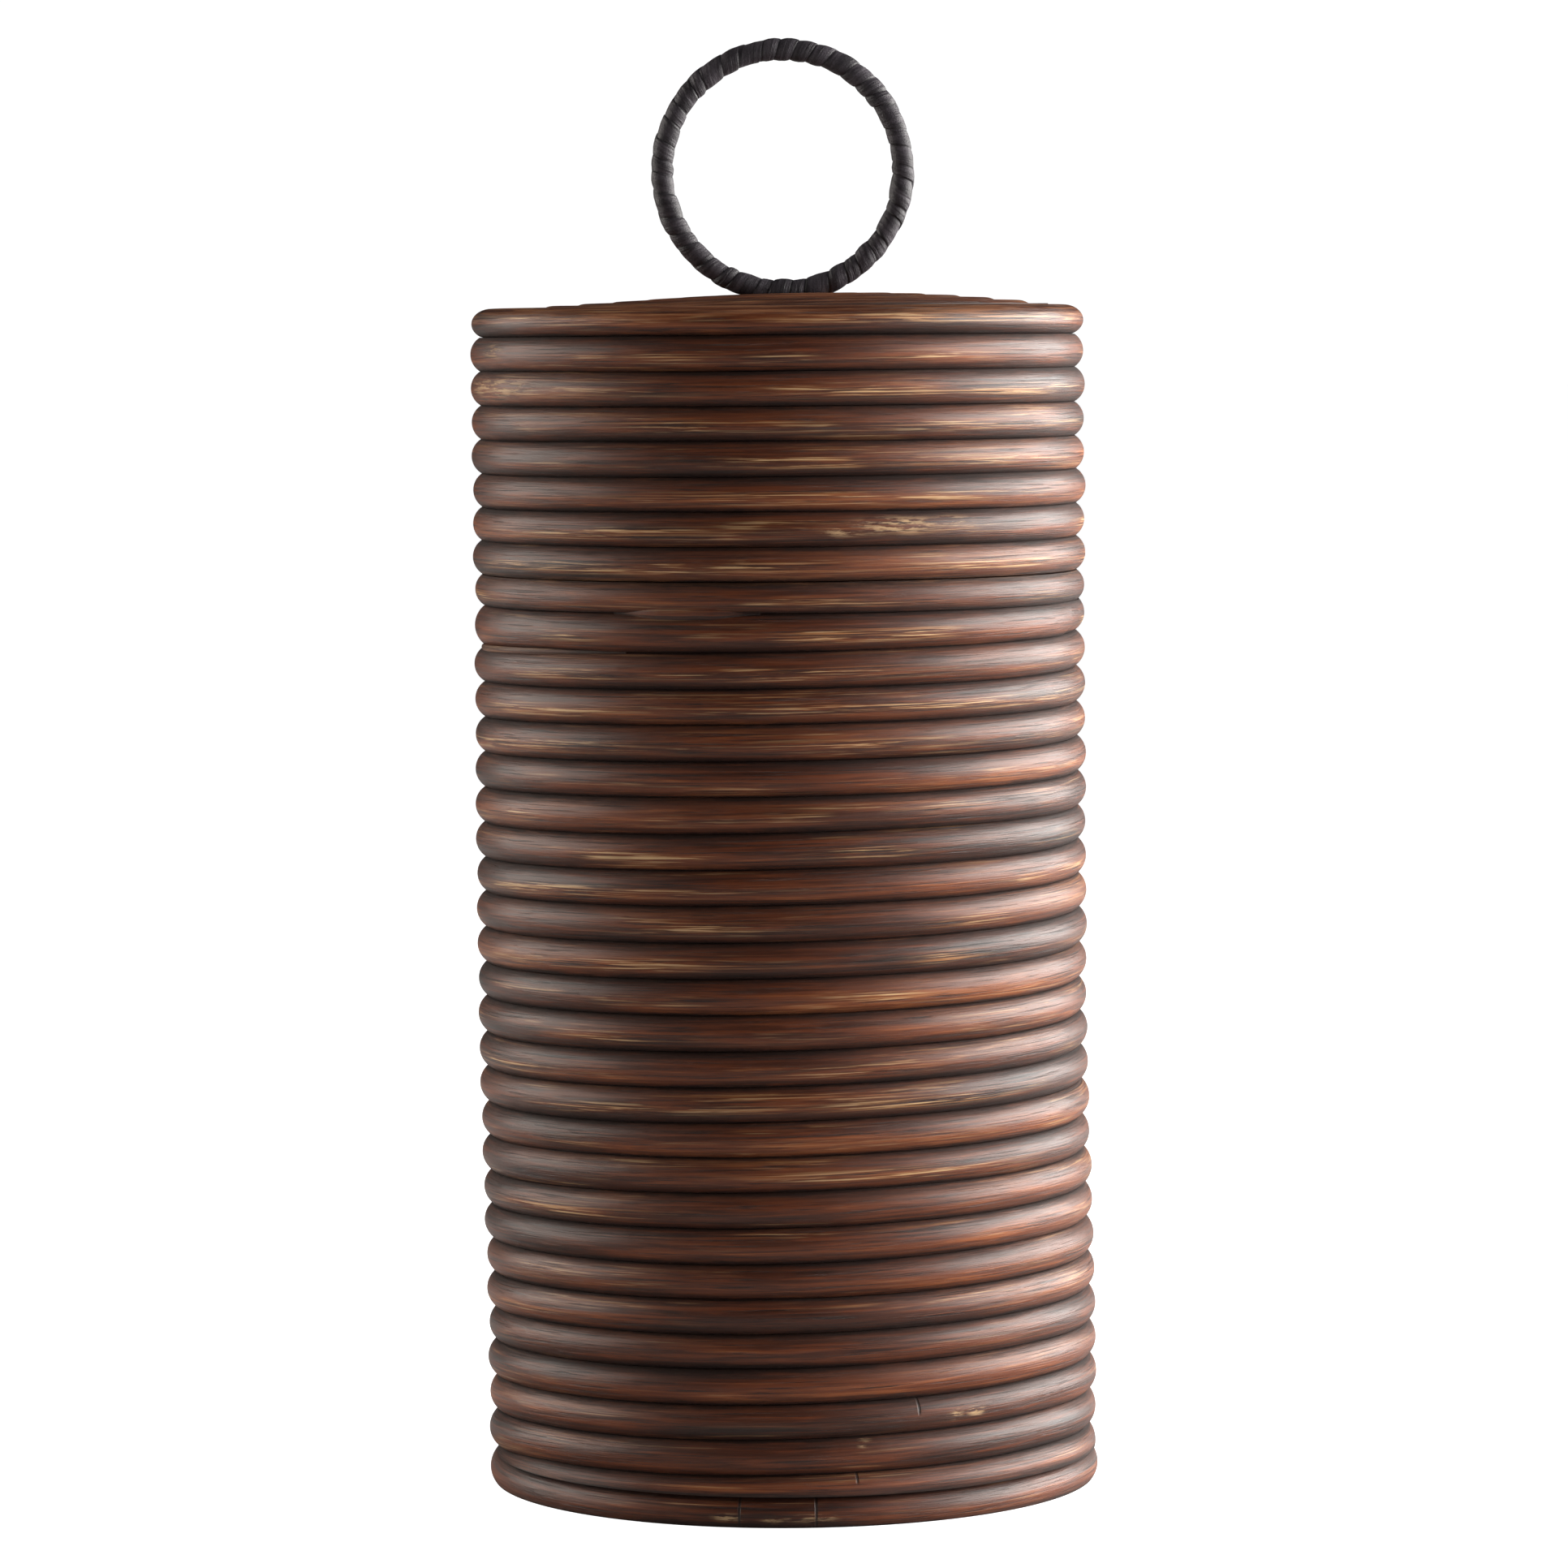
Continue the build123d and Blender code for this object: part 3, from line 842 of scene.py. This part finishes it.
def leather_strip():
    """Soft black leather, creased along the strip, with painted shade along each wrap's edges where it
    steps over the next.
    """
    m = Material("leather_strip")
    grain = m.add("UVMap", uv_map="grain").outputs["UV"]
    crease = m.noise(grain, (45, 520, 1), 4, 0.6, 0.2)
    pore = m.add("TexVoronoi", {"Vector": grain, "Scale": 1900.0}).outputs["Distance"]
    mottle = m.noise(grain, (90, 140, 1), 3, 0.5)
    colour = m.ramp(
        m.math("ADD", m.math("MULTIPLY", crease, 0.6), m.math("MULTIPLY", mottle, 0.4)),
        [(0.35, (0.0205, 0.0175, 0.0215)), (0.68, (0.072, 0.062, 0.075))],
    )
    edge = m.attribute("edge")
    # Painted shade: each wrap is darkened along its edges, where it steps over the next
    colour = m.mix(m.math("MULTIPLY", edge, 0.5), colour, (0.008, 0.008, 0.009, 1))
    rough = m.math("ADD", 0.36, m.math("MULTIPLY", crease, 0.25))
    height = m.math("ADD", crease, m.math("MULTIPLY", pore, 0.12))
    return m.finish(colour, rough, height, 0.9, 0.0008, ior=1.4)


def plywood():
    """Thin plywood, stained dark and left matt, with its grain upright."""
    m = Material("stained_plywood")
    place = m.add("TexCoord").outputs["Object"]
    grain = m.noise(place, (260, 260, 9), 5, 0.6, 0.3)
    tone = m.noise(place, (14, 14, 4), 3, 0.5)
    pores = m.noise(place, (900, 900, 30), 2, 0.5)
    colour = m.ramp(
        m.math("ADD", m.math("MULTIPLY", grain, 0.6), m.math("MULTIPLY", tone, 0.4)),
        [(0.38, (0.030, 0.013, 0.007)), (0.64, (0.105, 0.046, 0.022)), (0.5, (0.060, 0.026, 0.013))],
    )
    dark = m.between(pores, 0.60, 0.70)
    colour = m.mix(m.math("MULTIPLY", dark, 0.6), colour, (0.014, 0.007, 0.004, 1))
    rough = m.math("ADD", 0.52, m.math("MULTIPLY", grain, 0.2))
    return m.finish(colour, rough, m.math("SUBTRACT", grain, dark), 0.35, 0.0004, ior=1.45)


def board():
    """Stained board, its grain lying along X."""
    m = Material("stained_board")
    place = m.add("TexCoord").outputs["Object"]
    grain = m.noise(place, (9, 240, 240), 5, 0.6, 0.3)
    tone = m.noise(place, (4, 18, 18), 3, 0.5)
    colour = m.ramp(
        m.math("ADD", m.math("MULTIPLY", grain, 0.6), m.math("MULTIPLY", tone, 0.4)),
        [(0.38, (0.030, 0.013, 0.007)), (0.64, (0.110, 0.048, 0.022)), (0.5, (0.062, 0.027, 0.013))],
    )
    rough = m.math("ADD", 0.5, m.math("MULTIPLY", grain, 0.2))
    return m.finish(colour, rough, grain, 0.3, 0.0004, ior=1.45)


def steel(name, colour, roughness):
    """Plain steel, faintly brushed and mottled."""
    m = Material(name)
    place = m.add("TexCoord").outputs["Object"]
    brush = m.noise(place, (400, 400, 4000), 3, 0.6)
    spots = m.noise(place, (300, 300, 300), 3, 0.6)
    dark = tuple(0.55 * part for part in colour)
    tint = m.ramp(spots, [(0.35, dark), (0.65, colour)])
    rough = m.math("ADD", roughness, m.math("MULTIPLY", brush, 0.2))
    return m.finish(tint, rough, brush, 0.1, 0.0001, metallic=1.0)


materials = {
    "stained_rattan": rattan(),
    "leather_strip": leather_strip(),
    "stained_plywood": plywood(),
    "stained_wood": board(),
    "steel": steel("steel", (0.55, 0.55, 0.56), 0.3),
    "brad_heads": steel("brad_heads", (0.10, 0.065, 0.045), 0.42),
}


def paint(piece, material):
    """Gives the piece that one material."""
    piece.data.materials.clear()
    piece.data.materials.append(material)


for piece, node_name, body, slot in shown:
    paint(piece, materials[slot])
    if node_name:
        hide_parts(node_name)
    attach(piece, body)

slots = {part["node"]: part["material_slot"] for part in frame["record"]["subparts"]}
replaced = {node_name for _, node_name, _, _ in shown}
for node_name, piece in frame["nodes"].items():
    if node_name not in replaced:
        paint(piece, materials[slots[node_name]])
for node_name in ("base_board", "lid_board"):
    paint(frame["nodes"][node_name], materials["stained_wood"])


# --- Stage, light and camera ------------------------------------------------------------------------


def floor():
    """A plain white floor that only takes light as a pale grey one does."""
    m = Material("floor")
    place = m.add("TexCoord").outputs["Object"]
    speck = m.noise(place, (40, 40, 40), 3, 0.5)
    tint = m.ramp(speck, [(0.3, (0.43, 0.43, 0.43)), (0.7, (0.47, 0.47, 0.47))])
    material = m.finish(tint, 0.9, speck, 0.02, 0.0005)
    seen = m.add("LightPath").outputs["Is Camera Ray"]
    m.shader.inputs["Emission Color"].default_value = (1, 1, 1, 1)
    m.put(m.shader, "Emission Strength", seen)
    bpy.ops.mesh.primitive_circle_add(vertices=96, radius=60, fill_type="NGON")
    plane = bpy.context.object
    plane.name = "floor"
    paint(plane, material)


def area_light(name, place, target, width, height, power, colour=(1, 1, 1), glossy=True):
    """A softbox. One that isn't glossy lights a surface without being mirrored in its lacquer."""
    data = bpy.data.lights.new(name, "AREA")
    data.shape = "RECTANGLE"
    data.size, data.size_y, data.energy, data.color = width, height, power, colour
    light = bpy.data.objects.new(name, data)
    light.location = place
    light.rotation_euler = (Vector(target) - Vector(place)).to_track_quat("-Z", "Y").to_euler()
    light.visible_glossy = glossy
    bpy.context.scene.collection.objects.link(light)


def world():
    """White to the camera, and almost dark to everything else."""
    made = bpy.data.worlds.new("studio")
    bpy.context.scene.world = made
    made.use_nodes = True
    tree = made.node_tree
    background = tree.nodes["Background"]
    background.inputs["Color"].default_value = (1, 1, 1, 1)
    path = tree.nodes.new("ShaderNodeLightPath")
    strength = tree.nodes.new("ShaderNodeMapRange")
    strength.inputs["To Min"].default_value = 0.025
    strength.inputs["To Max"].default_value = 1.05
    tree.links.new(path.outputs["Is Camera Ray"], strength.inputs["Value"])
    tree.links.new(strength.outputs["Result"], background.inputs["Strength"])


CAMERA_LENS = 145.7
CAMERA_DISTANCE = 2.632
CAMERA_HEIGHT = 0.4732
CAMERA_DOWN = math.radians(4.0)
CAMERA_ROLL = math.radians(-0.45)
CAMERA_SIDE = 1.3 * MM


def camera():
    """At the height of the lid's shoulder, looking a little down at the middle of the object."""
    data = bpy.data.cameras.new("camera")
    data.lens = CAMERA_LENS
    data.sensor_width = 36
    data.clip_end = 200
    made = bpy.data.objects.new("camera", data)
    made.location = (CAMERA_SIDE, -CAMERA_DISTANCE, CAMERA_HEIGHT)
    made.rotation_euler = Euler((math.pi / 2 - CAMERA_DOWN, 0, 0))
    made.rotation_euler.rotate_axis("Z", CAMERA_ROLL)
    bpy.context.scene.collection.objects.link(made)
    bpy.context.scene.camera = made


MIDDLE = Vector((0, 0, 0.3))  # what the lights point at

floor()
world()
area_light("key", (2.15, 0.3, 0.75), MIDDLE, 3.2, 1.8, 202, (1, 0.98, 0.945))
area_light("fill", (-2.2, 0.35, 0.75), MIDDLE, 2.6, 1.8, 52, (1, 0.95, 0.88))
area_light("front", (0.4, -2.4, 1.7), MIDDLE, 1.6, 1.6, 7, (1, 0.96, 0.92), glossy=False)
area_light("top", (0, 0.2, 2.6), MIDDLE, 2.0, 2.0, 11, glossy=False)
camera()
bpy.context.scene.view_settings.view_transform = "Standard"
